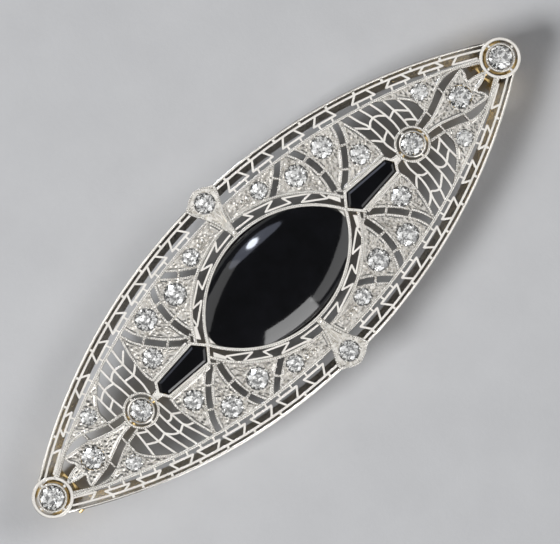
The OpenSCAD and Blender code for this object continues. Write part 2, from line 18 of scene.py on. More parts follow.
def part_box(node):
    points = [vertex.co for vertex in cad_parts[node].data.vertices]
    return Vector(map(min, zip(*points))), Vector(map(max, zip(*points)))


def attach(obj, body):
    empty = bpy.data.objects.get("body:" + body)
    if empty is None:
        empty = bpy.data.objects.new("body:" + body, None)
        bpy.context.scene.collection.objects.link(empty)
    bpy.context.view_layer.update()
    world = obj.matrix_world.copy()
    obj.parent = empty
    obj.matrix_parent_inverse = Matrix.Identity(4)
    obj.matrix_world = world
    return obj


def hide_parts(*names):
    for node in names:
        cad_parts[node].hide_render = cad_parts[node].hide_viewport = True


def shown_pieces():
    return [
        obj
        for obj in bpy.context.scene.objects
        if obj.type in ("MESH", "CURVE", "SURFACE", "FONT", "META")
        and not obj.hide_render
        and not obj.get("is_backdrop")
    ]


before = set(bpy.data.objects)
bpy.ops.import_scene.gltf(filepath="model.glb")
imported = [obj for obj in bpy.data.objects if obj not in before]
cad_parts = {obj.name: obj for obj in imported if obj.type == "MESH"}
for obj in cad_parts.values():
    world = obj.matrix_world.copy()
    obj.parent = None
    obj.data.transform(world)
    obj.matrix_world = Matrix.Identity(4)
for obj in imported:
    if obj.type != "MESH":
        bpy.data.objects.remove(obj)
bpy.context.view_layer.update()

MM = 0.001
SEED = 1925
BODY = "frame"

# Tolerances for reading the CAD meshes: how level a level face is, a triangle's least doubled area,
# an edge's least length, the same for an edge that a border follows, and how near a stone's middle
# is to that of its own collet
LEVEL = 0.002
TINY = 1e-7
SHORT = 1e-6
SLIVER = 0.03
SAME_PLACE = 0.1

# The stones' cut, as shares of a stone's radius, and the girdle's thickness
TABLE_R = 0.52
STAR_R = 0.74
LOWER_R = 0.45
CULET_R = 0.09
TABLE_Z = 0.38
PAVILION_Z = 0.82
GIRDLE_T = 0.05

# Milgrain beads. A bead's radius is multiplied by a number between the two in BEAD_SIZES, and its
# height by BEAD_RISE. Beads nearer each other than BEAD_CROWD of the pitch are thinned out.
BEAD_PITCH = 0.25
BEAD_R = 0.125
BEAD_INSET = 0.12
BEAD_SINK = 0.01
BEAD_RISE = 0.6
BEAD_SIZES = (0.92, 1.06)
BEAD_CROWD = 0.72
RAIL_BEAD_R = 0.15
FINE_BEAD_R = 0.11
FINE_PITCH = 0.23
INNER_RING_Z = 6.55

# How near to a stone's seat and to a rail an edge goes without beads, and the spacing of the
# places on the rails that are compared with it
SEAT_MARGIN = 0.12
NEAR_RAIL = 0.09
RAIL_STEP = 0.08

# Raised borders under the milgrain, left out where a plate has less room than BAND_ROOM. MITRE_MAX
# limits the reach of a border's corners, and HAIRPIN is where two edges turn back on each other.
BAND_HEIGHTS = {"petal_panel": 0.07, "leaf_plate": 0.07, "tulip_plate": 0.07, "side_ornament": 0.14}
BAND_EDGE = 0.01
BAND_W = 0.25
BAND_SLOPE = 0.16
BAND_FOOT = 0.02
BAND_ROOM = 0.85
MITRE_MAX = 2.5
HAIRPIN = 0.1

# Grain beads that hold a stone
GRAIN_R = 0.17
GRAIN_COUNT = 6
GRAIN_OUT = 0.05
GRAIN_UP = 0.16

# Graded beads beside the middle stones: distance from the stone's edge, and radius
MIDDLE_STONE_X = 5.8
GRADED = ((0.48, 0.36), (1.16, 0.30), (1.72, 0.25))
GRADED_RISE = 0.19

# Engraved ridges, in fans of (angle from the corner's direction, share of its distance). A ridge's
# heel, peak and toe are shares of its length.
FAN = ((0.0, 1.0), (0.19, 0.8), (-0.19, 0.8), (0.38, 0.55), (-0.38, 0.55))
FAN_START = 0.14
FAN_END = 0.3
RIDGE_LEAST = 0.3
RIDGE_W = 0.20
RIDGE_H = 0.07
RIDGE_SINK = 0.05
RIDGE_TOE_H = 0.01
RIDGE_HEEL = 0.1
RIDGE_PEAK = 0.3
RIDGE_TOE = 0.04

# Looking for a plate's corners round a stone
TURN_STEPS = 90
CORNER_SPAN = 5
CORNER_BESIDE = 2
CORNER_REACH = 0.75
CORNER_NARROW = 0.55
SEAT_EDGE = 0.1

# Lips of the collets
LIP_R = 0.11
LIP_OUT = 0.13
LIP_PITCH = 0.24

# Painted shade for the pits of hammered metal: the colour the metal is multiplied by in dark specks of a
# noise as wide as the pits
PIT_SHADE = (0.70, 0.68, 0.64)

random.seed(SEED)

Stone = namedtuple("Stone", "x y z r node")


# ---------------------------------------------------------------- meshes

class Parts:
    """Points and faces of many small solids, gathered into one piece."""

    def __init__(self):
        self.points = []
        self.faces = []

    def add(self, points, faces):
        """Adds a solid, whose faces are numbered from its own first point."""
        start = len(self.points)
        self.points.extend(points)
        self.faces.extend([start + i for i in f] for f in faces)


def mesh_piece(name, parts, material, smooth=False, replaced=()):
    """A piece of the brooch's frame from parts in millimetres."""
    mesh = bpy.data.meshes.new(name)
    mesh.from_pydata((np.asarray(parts.points, float) * MM).tolist(), [], parts.faces)
    mesh.update()
    mesh.polygons.foreach_set("use_smooth", [smooth] * len(mesh.polygons))
    mesh.materials.append(material)
    piece = bpy.data.objects.new(name, mesh)
    bpy.context.scene.collection.objects.link(piece)
    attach(piece, BODY)
    if replaced:
        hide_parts(*replaced)


def on_circle(x, y, r, turn):
    """The point on a circle of radius r round (x, y), at an angle from +X."""
    return x + r * math.cos(turn), y + r * math.sin(turn)


def ball(rings=5, around=10):
    """Points and faces of a unit sphere."""
    points = [(0, 0, 1)]
    for i in range(1, rings):
        tilt = math.pi * i / rings
        for k in range(around):
            points.append((*on_circle(0, 0, math.sin(tilt), 2 * math.pi * k / around), math.cos(tilt)))
    points.append((0, 0, -1))
    last = len(points) - 1
    faces = []
    for k in range(around):
        n = (k + 1) % around
        faces.append((0, 1 + k, 1 + n))
        for i in range(rings - 2):
            row = 1 + i * around
            faces.append((row + k, row + around + k, row + around + n, row + n))
        row = last - around
        faces.append((row + k, last, row + n))
    return np.array(points), faces


BALL_POINTS, BALL_FACES = ball()


def add_ball(parts, at, r, rise=1.0):
    """A ball of radius r that is rise times as high as it is wide."""
    parts.add((BALL_POINTS * (r, r, r * rise) + np.asarray(at)).tolist(), BALL_FACES)


def add_ridge(parts, a, b, z):
    """A bright cut's ridge: a low wedge from a to b, widest near a."""
    a, b = np.array(a, float), np.array(b, float)
    along = b - a
    side = np.array((-along[1], along[0])) / np.linalg.norm(along) * RIDGE_W / 2
    mid = a + along * RIDGE_PEAK
    low = z - RIDGE_SINK
    top = z + RIDGE_H
    points = [(*a, low), (*(mid + side), low), (*b, low), (*(mid - side), low),
              (*(a + along * RIDGE_HEEL), (z + top) / 2), (*mid, top),
              (*(b - along * RIDGE_TOE), z + RIDGE_TOE_H)]
    faces = [(0, 3, 2, 1), (0, 1, 5, 4), (1, 2, 6, 5), (2, 3, 5, 6), (3, 0, 4, 5)]
    parts.add(points, faces)


def add_torus(parts, at, major, minor, around=48, section=8):
    """A level ring with a round section."""
    points = []
    faces = []
    for i in range(around):
        for k in range(section):
            tilt = 2 * math.pi * k / section
            out = major + minor * math.cos(tilt)
            points.append((*on_circle(at[0], at[1], out, 2 * math.pi * i / around),
                           at[2] + minor * math.sin(tilt)))
            n, m = (i + 1) % around, (k + 1) % section
            faces.append((i * section + k, n * section + k, n * section + m, i * section + m))
    parts.add(points, faces)


# ---------------------------------------------------------------- reading the CAD nodes

def named(*starts):
    """The nodes whose names begin with one of the starts, sorted for each start."""
    return [n for start in starts for n in sorted(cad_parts) if n.startswith(start)]


def middle_and_top(node):
    """The x, the y and the greatest z of a node's box."""
    low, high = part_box(node)
    middle = (low + high) / 2 / MM
    return middle.x, middle.y, high.z / MM


def cad_solids(node):
    """The node's corners in millimetres, merged by place, and its triangles."""
    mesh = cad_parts[node].data
    places = np.empty(len(mesh.vertices) * 3)
    mesh.vertices.foreach_get("co", places)
    places = np.round(places.reshape(-1, 3) / MM, 4)
    merged, index = np.unique(places, axis=0, return_inverse=True)
    index = index.reshape(-1)
    mesh.calc_loop_triangles()
    triangles = np.empty(len(mesh.loop_triangles) * 3, int)
    mesh.loop_triangles.foreach_get("vertices", triangles)
    return merged, index[triangles].reshape(-1, 3)


def flat_loops(node, z=None):
    """The edge loops of the node's level faces at height z, or of its highest ones.
    The metal is on the left of each loop."""
    points, triangles = cad_solids(node)
    if z is None:
        z = points[:, 2].max()
    edges = Counter()
    for t in triangles:
        a, b, c = points[t]
        turn = (b[0] - a[0]) * (c[1] - a[1]) - (b[1] - a[1]) * (c[0] - a[0])
        if np.abs(points[t, 2] - z).max() > LEVEL or turn < TINY:
            continue
        for edge in ((t[0], t[1]), (t[1], t[2]), (t[2], t[0])):
            if edges[edge[::-1]]:
                edges[edge[::-1]] -= 1
            else:
                edges[edge] += 1
    leaving = {}
    for (a, b), count in sorted(edges.items()):
        if count:
            leaving.setdefault(a, []).append(b)
    loops = []
    while leaving:
        first = at = min(leaving)
        loop = []
        while at != first or not loop:
            loop.append(at)
            at = leaving[at].pop()
            if not leaving[loop[-1]]:
                del leaving[loop[-1]]
        if len(loop) > 3:
            loops.append(points[loop])
    return loops


def edges_of(loop):
    """The two ends of each edge of a loop."""
    return zip(loop, np.roll(loop, -1, axis=0))


def length_and_inward(a, b):
    """The length of the edge from a to b in plan, and the direction from it into the metal."""
    d = b - a
    length = np.linalg.norm(d[:2])
    return length, np.array((-d[1], d[0], 0)) / max(length, SHORT)


def stones_of(node):
    """The stones of a diamond node, each placed by the middle of its girdle's lower edge."""
    points, triangles = cad_solids(node)
    owner = list(range(len(points)))

    def root(i):
        while owner[i] != i:
            owner[i] = owner[owner[i]]
            i = owner[i]
        return i

    for t in triangles:
        for k in t[1:]:
            owner[root(k)] = root(t[0])
    groups = {}
    for i in range(len(points)):
        groups.setdefault(root(i), []).append(i)
    stones = []
    for members in groups.values():
        p = points[members]
        low, high = p.min(0), p.max(0)
        x, y, _ = (low + high) / 2
        r = (high[0] - low[0]) / 2
        stones.append(Stone(x, y, low[2] + PAVILION_Z * r, r, node))
    return sorted(stones)


def reach(x, y, walls, turn):
    """How far a ray from (x, y) goes before it meets a wall segment."""
    d = np.array((math.cos(turn), math.sin(turn)))
    a, ab = walls[:, 0] - (x, y), walls[:, 1] - walls[:, 0]
    cross = d[0] * ab[:, 1] - d[1] * ab[:, 0]
    with np.errstate(divide="ignore", invalid="ignore"):
        along = (a[:, 0] * ab[:, 1] - a[:, 1] * ab[:, 0]) / cross
        across = (a[:, 0] * d[1] - a[:, 1] * d[0]) / cross
    hits = along[(across >= 0) & (across <= 1) & (along > 0)]
    return hits.min() if len(hits) else 0.0


# ---------------------------------------------------------------- materials

class Look:
    """A node material with a Principled shader, built step by step."""

    def __init__(self, name, **values):
        self.material = bpy.data.materials.new(name)
        self.material.use_nodes = True
        self.tree = self.material.node_tree
        self.shader = self.tree.nodes["Principled BSDF"]
        self.place = self.node("ShaderNodeTexCoord").outputs["Object"]
        for key, value in values.items():
            self.shader.inputs[key.replace("_", " ")].default_value = value

    def node(self, kind, **inputs):
        """A new node. Each input is linked to an output, or is set to a value."""
        made = self.tree.nodes.new(kind)
        for key, value in inputs.items():
            socket = made.inputs[key.replace("_", " ")]
            if hasattr(value, "is_output"):
                self.tree.links.new(value, socket)
            else:
                socket.default_value = value
        return made

    def noise(self, size, detail=4.0, rough=0.6):
        """Noise whose features are about size millimetres wide."""
        made = self.node("ShaderNodeTexNoise", Vector=self.place, Scale=1 / (size * MM),
                         Detail=detail, Roughness=rough)
        return made.outputs["Fac"]

    def pits(self, size):
        """Round pits about size millimetres wide, deepest at their middles."""
        made = self.node("ShaderNodeTexVoronoi", Vector=self.place, Scale=1 / (size * MM))
        return made.outputs["Distance"]

    def colours(self, value, *stops):
        """A ramp of (position, colour) stops."""
        ramp = self.node("ShaderNodeValToRGB", Fac=value)
        elements = ramp.color_ramp.elements
        while len(elements) < len(stops):
            elements.new(0.5)
        for element, (position, colour) in zip(elements, stops):
            element.position = position
            element.color = (*colour, 1)
        return ramp.outputs["Color"]

    def multiplied(self, a, b):
        """One colour times another."""
        made = self.node("ShaderNodeMixRGB", Fac=1.0, Color1=a, Color2=b)
        made.blend_type = "MULTIPLY"
        return made.outputs["Color"]

    def span(self, value, low, high):
        """The middle of a 0 to 1 value's range, stretched from low to high."""
        made = self.node("ShaderNodeMapRange", Value=value, From_Min=0.3, From_Max=0.7,
                         To_Min=low, To_Max=high)
        return made.outputs["Result"]

    def rounded(self, r):
        """Edges rounded to a radius of r millimetres."""
        bevel = self.node("ShaderNodeBevel", Radius=r * MM)
        bevel.samples = 4
        return bevel.outputs["Normal"]

    def facing_up(self):
        """1 on the faces that look up and 0 on the brooch's back and sides."""
        normal = self.node("ShaderNodeNewGeometry").outputs["Normal"]
        return self.span(self.node("ShaderNodeSeparateXYZ", Vector=normal).outputs["Z"], 0.0, 1.0)

    def bump(self, value, height, under=None, strength=1.0):
        """A bump height millimetres deep, over another one if given."""
        made = self.node("ShaderNodeBump", Strength=strength, Distance=height * MM, Height=value)
        if under is not None:
            self.tree.links.new(under, made.inputs["Normal"])
        return made.outputs["Normal"]

    def set(self, key, value):
        """Links an output to one of the shader's inputs."""
        self.tree.links.new(value, self.shader.inputs[key])


def metal_look(name, dark, light, rough, scratch, hammer=0.0, hammer_size=0.3, edge=0.0, cloud=1.6):
    """Polished metal with cloudy wear, fine scratches and, if asked, a hammered front with painted
    shade in its pits. On the cut plates the cloud is partly painted highlights and shade of facets.
    """
    look = Look(name, Metallic=1.0)
    # the cloud of darker and lighter tone; where its range is wide, as on the cut plates, it is partly
    # painted highlights and shade
    colour = look.colours(look.noise(cloud), (0.3, dark), (0.7, light))
    look.set("Roughness", look.span(look.noise(0.5), *rough))
    bump = look.bump(look.noise(0.09, 2.0), scratch, look.rounded(edge) if edge else None)
    if hammer:
        bump = look.bump(look.pits(hammer_size), hammer, bump, look.facing_up())
        # painted shade: a darker colour multiplied into the hammered metal in specks, standing in for shade
        # in its pits
        pit_shade = look.colours(look.noise(hammer_size, 3.0), (0.36, PIT_SHADE), (0.50, (1, 1, 1)))
        colour = look.multiplied(colour, pit_shade)
    look.set("Base Color", colour)
    look.set("Normal", bump)
    return look.material


def onyx_look():
    """Black stone, polished but for a slight waviness."""
    look = Look("black_onyx", IOR=1.55)
    look.set("Base Color", look.colours(look.noise(3.0), (0.35, (0.002, 0.002, 0.003)),
                                        (0.7, (0.008, 0.008, 0.011))))
    look.set("Roughness", look.span(look.noise(0.35), 0.06, 0.11))
    look.set("Normal", look.bump(look.noise(0.8, 2.0), 0.0015))
    return look.material


def diamond_look():
    """Clear stone with a faint grey cast, a little worn on some facets."""
    look = Look("diamond", IOR=2.42, Transmission_Weight=1.0)
    look.set("Base Color", look.colours(look.noise(0.7), (0.3, (0.64, 0.635, 0.615)),
                                        (0.7, (0.76, 0.76, 0.745))))
    look.set("Roughness", look.span(look.noise(0.4), 0.0, 0.02))
    return look.material


platinum_polished = metal_look("platinum_polished", (0.74, 0.71, 0.66), (0.89, 0.86, 0.81),
                               (0.12, 0.24), 0.003, edge=0.13)
platinum_wire = metal_look("platinum_wire", (0.76, 0.73, 0.68), (0.92, 0.89, 0.84),
                           (0.16, 0.30), 0.004, edge=0.05)
platinum_carved = metal_look("platinum_carved", (0.58, 0.56, 0.52), (0.90, 0.87, 0.82),
                             (0.14, 0.26), 0.008, hammer=0.05, hammer_size=0.40, edge=0.12, cloud=1.0)
# The cut plates' wide dark-to-light cloud, about 0.7 mm across, is partly random tone of the metal and
# partly painted highlights and shade standing in for facets.
platinum_cut = metal_look("platinum_cut", (0.42, 0.40, 0.37), (0.82, 0.79, 0.74),
                          (0.14, 0.26), 0.006, hammer=0.085, hammer_size=0.36, edge=0.06, cloud=0.7)
platinum_wall = metal_look("platinum_wall", (0.60, 0.57, 0.52), (0.76, 0.73, 0.68), (0.22, 0.38), 0.008)
platinum_bead = metal_look("platinum_bead", (0.84, 0.81, 0.76), (0.96, 0.93, 0.88), (0.28, 0.40), 0.004)
gold = metal_look("yellow_gold", (0.72, 0.50, 0.20), (0.90, 0.68, 0.34), (0.12, 0.26), 0.005)
black_onyx = onyx_look()
diamond = diamond_look()

NODE_LOOKS = {
    "gallery": platinum_wall,
    "rim_wires": platinum_polished,
    "dovetail": platinum_wire,
    "inner_rail": platinum_wire,
    "petal_panel": platinum_cut,
    "leaf_plate": platinum_cut,
    "wing_filigree": platinum_wire,
    "tulip_plate": platinum_cut,
    "side_ornament": platinum_carved,
    "marquise_bezel": platinum_polished,
    "marquise_border": platinum_wire,
    "marquise_rail": platinum_wire,
    "onyx_frame": platinum_wire,
    "inner_collet": platinum_polished,
    "end_collet": platinum_polished,
    "onyx_cabochon": black_onyx,
    "onyx_tablet": black_onyx,
    "hinge": gold,
    "pin_stem": gold,
    "catch": gold,
}

for start, material in NODE_LOOKS.items():
    for node in named(start):
        for material_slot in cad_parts[node].material_slots:
            material_slot.material = material


# ---------------------------------------------------------------- stones

def brilliant(r):
    """An old-cut stone: table, stars, kites, girdle, pavilion and a small open culet."""
    table_r, star_r, low_r, culet_r = TABLE_R * r, STAR_R * r, LOWER_R * r, CULET_R * r
    table_z, depth = TABLE_Z * r, PAVILION_Z * r
    half = math.pi / 8
    star_z = GIRDLE_T + (table_z - GIRDLE_T) * (r - star_r * math.cos(half)) / (r - table_r)
    low_z = -depth * (r - low_r * math.cos(half)) / (r - culet_r)

    def ring(count, radius, z, turn=0.0):
        return [(*on_circle(0, 0, radius, 2 * math.pi * k / count + turn), z) for k in range(count)]

    points = (ring(8, table_r, table_z) + ring(8, star_r, star_z, half) + ring(16, r, GIRDLE_T)
              + ring(16, r, 0) + ring(8, low_r, low_z, half) + ring(8, culet_r, -depth))
    table, star, top, bottom, low, culet = 0, 8, 16, 32, 48, 56
    faces = [tuple(range(8)), tuple(culet + 7 - k for k in range(8))]
    for k in range(8):
        n, b = (k + 1) % 8, (k - 1) % 8
        g = [(2 * k + i) % 16 for i in range(3)]
        faces += [
            (table + k, star + k, table + n),
            (table + k, star + b, top + g[0], star + k),
            (star + k, top + g[0], top + g[1]),
            (star + k, top + g[1], top + g[2]),
            (bottom + g[0], low + b, culet + k, low + k),
            (low + k, bottom + g[1], bottom + g[0]),
            (low + k, bottom + g[2], bottom + g[1]),
            (culet + k, culet + n, low + k),
        ]
    for k in range(16):
        n = (k + 1) % 16
        faces.append((top + k, bottom + k, bottom + n, top + n))
    return points, faces


def cut_stones():
    """Replaces the plain stones with cut ones, and returns all the stones."""
    placed = []
    for node in sorted(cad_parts):
        if "diamond" not in node:
            continue
        cut = Parts()
        for stone in stones_of(node):
            points, faces = brilliant(stone.r)
            turn = Matrix.Rotation(random.uniform(0, math.pi / 4), 3, "Z")
            centre = Vector((stone.x, stone.y, stone.z))
            cut.add([tuple(turn @ Vector(p) + centre) for p in points], faces)
            placed.append(stone)
        mesh_piece(node.replace("diamond", "brilliant"), cut, diamond, replaced=(node,))
    return placed


all_stones = cut_stones()


# ---------------------------------------------------------------- which edges are trimmed

def outward(p, inward):
    """Keeps the side of a strip that faces away from the brooch's middle."""
    return p[0] * inward[0] + p[1] * inward[1] < 0


def away_from(x, y):
    """Keeps the edges that face away from a point."""
    return lambda p, inward: (p[0] - x) * inward[0] + (p[1] - y) * inward[1] < 0


def at_stone(p):
    """True at the seat of any stone."""
    return any(math.hypot(p[0] - s.x, p[1] - s.y) < s.r + SEAT_MARGIN for s in all_stones)


def rail_tree():
    """Closely spaced places along the edges of the rails, for finding the nearest one."""
    places = []
    for node in named("inner_rail", "marquise_rail"):
        for loop in flat_loops(node):
            for a, b in edges_of(loop):
                count = max(1, int(np.linalg.norm(b - a) / RAIL_STEP))
                places += [a + (b - a) * i / count for i in range(count)]
    tree = KDTree(len(places))
    for i, p in enumerate(places):
        tree.insert((p[0], p[1], 0), i)
    tree.balance()
    return tree


rails = rail_tree()


def open_edge(p, inward):
    """Keeps the edges that are neither a stone's seat nor against a rail."""
    return not at_stone(p) and rails.find((p[0], p[1], 0))[2] >= NEAR_RAIL


# ---------------------------------------------------------------- raised borders

def without_slivers(loop):
    """The loop without the corners that all but touch the one before them."""
    steps = np.linalg.norm(loop - np.roll(loop, 1, axis=0), axis=1)
    return loop[steps > SLIVER]


def with_room(loops, keep):
    """Keeps the edges that keep does and that have room inside them for a border."""
    walls = np.array([(a[:2], b[:2]) for loop in loops for a, b in edges_of(loop)])

    def roomy(p, inward):
        x, y = p[:2] + inward[:2] * BAND_EDGE
        return keep(p, inward) and reach(x, y, walls, math.atan2(inward[1], inward[0])) > BAND_ROOM

    return roomy


def kept_runs(loop, keep):
    """The stretches of a loop whose edges are kept, each as a list of corner numbers."""
    count = len(loop)
    kept = []
    for a, b in edges_of(loop):
        length, inward = length_and_inward(a, b)
        kept.append(length > SHORT and keep((a + b) / 2, inward))
    if all(kept):
        return [list(range(count)) + [0]]
    runs = []
    for i in range(count):
        if kept[i] and not kept[i - 1]:
            run = [i]
            while kept[run[-1] % count]:
                run.append(run[-1] + 1)
            runs.append([k % count for k in run])
    return runs


def inward_at(loop, run, k):
    """The mitred direction from corner k of a run into the metal, for a border of width 1."""
    closed = run[0] == run[-1]
    sides = []
    for i, j in ((k - 1, k), (k, k + 1)):
        if closed:
            i, j = i % (len(run) - 1), j % (len(run) - 1)
        if 0 <= i and j < len(run):
            _, inward = length_and_inward(loop[run[i]], loop[run[j]])
            sides.append(inward[:2])
    total = sum(sides)
    length = np.linalg.norm(total)
    if length < HAIRPIN:
        return sides[0]
    return total / length * min(MITRE_MAX, len(sides) / length)


def add_band(parts, loop, run, z, height):
    """A low border with a sloping inner side, just inside the edge, along a run of corners."""
    corners = [loop[c][:2] for c in run]
    inward = [inward_at(loop, run, k) for k in range(len(run))]
    foot = BAND_W + BAND_SLOPE
    rows = []
    for inset, rise in ((BAND_EDGE, -BAND_FOOT), (BAND_EDGE, height), (BAND_W, height), (foot, -BAND_FOOT)):
        row = [c + i * inset for c, i in zip(corners, inward)]
        for k in range(len(run) - 1):
            if np.dot(row[k + 1] - row[k], corners[k + 1] - corners[k]) < 0:
                row[k] = row[k + 1] = (row[k] + row[k + 1]) / 2
        rows.append([(*p, z + rise) for p in row])
    points = [row[k] for k in range(len(run)) for row in rows]
    faces = []
    for k in range(len(run) - 1):
        a, b = 4 * k, 4 * k + 4
        faces += [(a + i, b + i, b + (i + 1) % 4, a + (i + 1) % 4) for i in range(4)]
    if run[0] != run[-1]:
        last = len(points) - 4
        faces += [(0, 1, 2, 3), (last + 3, last + 2, last + 1, last)]
    parts.add(points, faces)


def edge_bands(start, keep, height):
    """Raised borders along the kept edges of each plate, under the milgrain."""
    for node in named(start):
        bands = Parts()
        loops = flat_loops(node)
        roomy = with_room(loops, keep)
        for loop in map(without_slivers, loops):
            for run in kept_runs(loop, roomy):
                if np.linalg.norm(np.diff(loop[run], axis=0), axis=1).sum() > BAND_W:
                    add_band(bands, loop, run, loop[0][2], height)
        mesh_piece("band_" + node, bands, platinum_wire)


# ---------------------------------------------------------------- milgrain

def thinned(places, apart):
    """The places, without those that crowd one kept before them."""
    kept = []
    grid = {}
    for p in places:
        column, row = int(p[0] // apart), int(p[1] // apart)
        near = []
        for i in (-1, 0, 1):
            for j in (-1, 0, 1):
                near += grid.get((column + i, row + j), [])
        if all((p[0] - q[0]) ** 2 + (p[1] - q[1]) ** 2 > apart * apart for q in near):
            kept.append(p)
            grid.setdefault((column, row), []).append(p)
    return kept


def edge_places(loops, keep, pitch, inset):
    """Evenly spaced places beside the kept edges, on the metal's side of them."""
    places = []
    for loop in loops:
        left_over = pitch / 2
        for a, b in edges_of(loop):
            length, inward = length_and_inward(a, b)
            if length < SHORT:
                continue
            if not keep((a + b) / 2, inward):
                left_over = pitch / 2
                continue
            s = left_over
            while s < length:
                places.append(a + (b - a) * (s / length) + inward * inset)
                s += pitch
            left_over = s - length
    return thinned(places, pitch * BEAD_CROWD)


def milgrain(start, keep, r=BEAD_R, inset=BEAD_INSET, pitch=BEAD_PITCH, z=None, lift=0.0):
    """A row of beads beside the kept edges of each node whose name begins with start."""
    for node in named(start):
        beads = Parts()
        for p in edge_places(flat_loops(node, z), keep, pitch, inset):
            at = (p[0], p[1], p[2] + lift - BEAD_SINK)
            add_ball(beads, at, r * random.uniform(*BEAD_SIZES), BEAD_RISE)
        mesh_piece("milgrain_" + node, beads, platinum_bead, smooth=True)


for start in ("inner_rail", "marquise_rail"):
    milgrain(start, outward, RAIL_BEAD_R, RAIL_BEAD_R)
milgrain("marquise_bezel", outward, FINE_BEAD_R, FINE_BEAD_R)
for start, height in BAND_HEIGHTS.items():
    edge_bands(start, open_edge, height)
    milgrain(start, open_edge, lift=height)
for node in named("onyx_frame", "inner_collet"):
    x, y, _ = middle_and_top(node)
    z = INNER_RING_Z if node.startswith("inner") else None
    milgrain(node, away_from(x, y), FINE_BEAD_R, FINE_BEAD_R, FINE_PITCH, z)


# ---------------------------------------------------------------- settings

def set_in_grains(node):
    """Small round beads of metal that hold each stone of a node."""
    grains = Parts()
    for stone in all_stones:
        if stone.node != node:
            continue
        first = random.uniform(0, math.pi)
        for k in range(GRAIN_COUNT):
            turn = first + 2 * math.pi * k / GRAIN_COUNT
            at = on_circle(stone.x, stone.y, stone.r + GRAIN_OUT, turn)
            add_ball(grains, (*at, stone.z + GRAIN_UP), GRAIN_R)
    mesh_piece("grains_" + node, grains, platinum_bead, smooth=True)


def own_stones(node, start, stones_node):
    """The stones of a plate, whose node is named after the plate's or shared by both plates."""
    return [s for s in all_stones if s.node in (node.replace(start, stones_node), stones_node)]


def graded_beads(start, stones_node):
    """Beads that shrink from the middle stones of a petal panel towards the side ornament."""
    for node in named(start):
        beads = Parts()
        z = flat_loops(node)[0][0][2]
        for stone in own_stones(node, start, stones_node):
            if abs(stone.x) > MIDDLE_STONE_X:
                continue
            for away, r in GRADED:
                step = stone.r + away
                x = stone.x - math.copysign(step, stone.x)
                y = stone.y + math.copysign(step * GRADED_RISE, stone.y)
                add_ball(beads, (x, y, z), r)
        mesh_piece("graded_" + node, beads, platinum_bead, smooth=True)


def walls_round(loops, stone):
    """The edges of the loops, without those of the stone's own seat."""
    walls = []
    for loop in loops:
        for a, b in edges_of(loop):
            mid = (a + b) / 2
            if math.hypot(mid[0] - stone.x, mid[1] - stone.y) > stone.r + SEAT_EDGE:
                walls.append((a[:2], b[:2]))
    return np.array(walls)


def corners_round(stone, walls):
    """Directions and distances of the corners of the plate that a stone sits in."""
    turns = [2 * math.pi * k / TURN_STEPS for k in range(TURN_STEPS)]
    reaches = [reach(stone.x, stone.y, walls, t) for t in turns]
    found = []
    for k, (turn, far) in enumerate(zip(turns, reaches)):
        around = [reaches[(k + i) % TURN_STEPS] for i in range(-CORNER_SPAN, CORNER_SPAN + 1)]
        beside = min(reaches[k - CORNER_BESIDE], reaches[(k + CORNER_BESIDE) % TURN_STEPS])
        if far == max(around) and stone.r + CORNER_REACH < far and beside > far * CORNER_NARROW:
            found.append((turn, far))
    return found


def engrave(start, stones_node):
    """Fans of bright-cut ridges from each stone into the corners of its plate."""
    for node in named(start):
        ridges = Parts()
        loops = flat_loops(node)
        z = loops[0][0][2]
        for stone in own_stones(node, start, stones_node):
            x, y = stone.x, stone.y
            first = stone.r + FAN_START
            walls = walls_round(loops, stone)
            for turn, far in corners_round(stone, walls):
                for lean, share in FAN:
                    t = turn + lean
                    last = first + (min(far, reach(x, y, walls, t)) - FAN_END - first) * share
                    if last - first > RIDGE_LEAST:
                        add_ridge(ridges, on_circle(x, y, first, t), on_circle(x, y, last, t), z)
        mesh_piece("engraving_" + node, ridges, platinum_bead)


def lip(node):
    """A smooth lip on an inner collet's bezel, or a ring of beads on an end collet's."""
    ring = Parts()
    middle_x, middle_y, top = middle_and_top(node)
    for stone in all_stones:
        if math.hypot(stone.x - middle_x, stone.y - middle_y) > SAME_PLACE:
            continue
        r = stone.r + LIP_OUT
        if node.startswith("inner"):
            add_torus(ring, (stone.x, stone.y, top), r, LIP_R)
            continue
        count = round(2 * math.pi * r / LIP_PITCH)
        for k in range(count):
            add_ball(ring, (*on_circle(stone.x, stone.y, r, 2 * math.pi * k / count), top), LIP_R)
    mesh_piece("lip_" + node, ring, platinum_polished, smooth=True)


for node in named("petal_diamonds", "leaf_diamond", "tulip_diamond", "side_diamonds"):
    set_in_grains(node)
graded_beads("petal_panel", "petal_diamonds")
engrave("petal_panel", "petal_diamonds")
engrave("leaf_plate", "leaf_diamond")
engrave("tulip_plate", "tulip_diamond")
engrave("side_ornament", "side_diamonds")
for node in named("inner_collet", "end_collet"):
    lip(node)


# ---------------------------------------------------------------- floor and world

FLOOR_HALF = 3000
WORLD_COLOUR = (0.92, 0.95, 1.0, 1)
WORLD_STRENGTH = 0.10


def floor_look():
    """Pale matt paper. Its underside is clear, so that the brooch's back can be seen from below."""
    look = Look("floor", Roughness=0.85)
    look.set("Base Color", look.colours(look.noise(9.0), (0.3, (0.60, 0.60, 0.61)),
                                        (0.7, (0.64, 0.64, 0.65))))
    look.set("Normal", look.bump(look.noise(0.5, 3.0), 0.02))
    under = look.node("ShaderNodeNewGeometry").outputs["Backfacing"]
    clear = look.node("ShaderNodeBsdfTransparent").outputs["BSDF"]
    both = look.node("ShaderNodeMixShader", Fac=under)
    look.tree.links.new(look.shader.outputs["BSDF"], both.inputs[1])
    look.tree.links.new(clear, both.inputs[2])
    look.tree.links.new(both.outputs["Shader"], look.tree.nodes["Material Output"].inputs["Surface"])
    return look.material


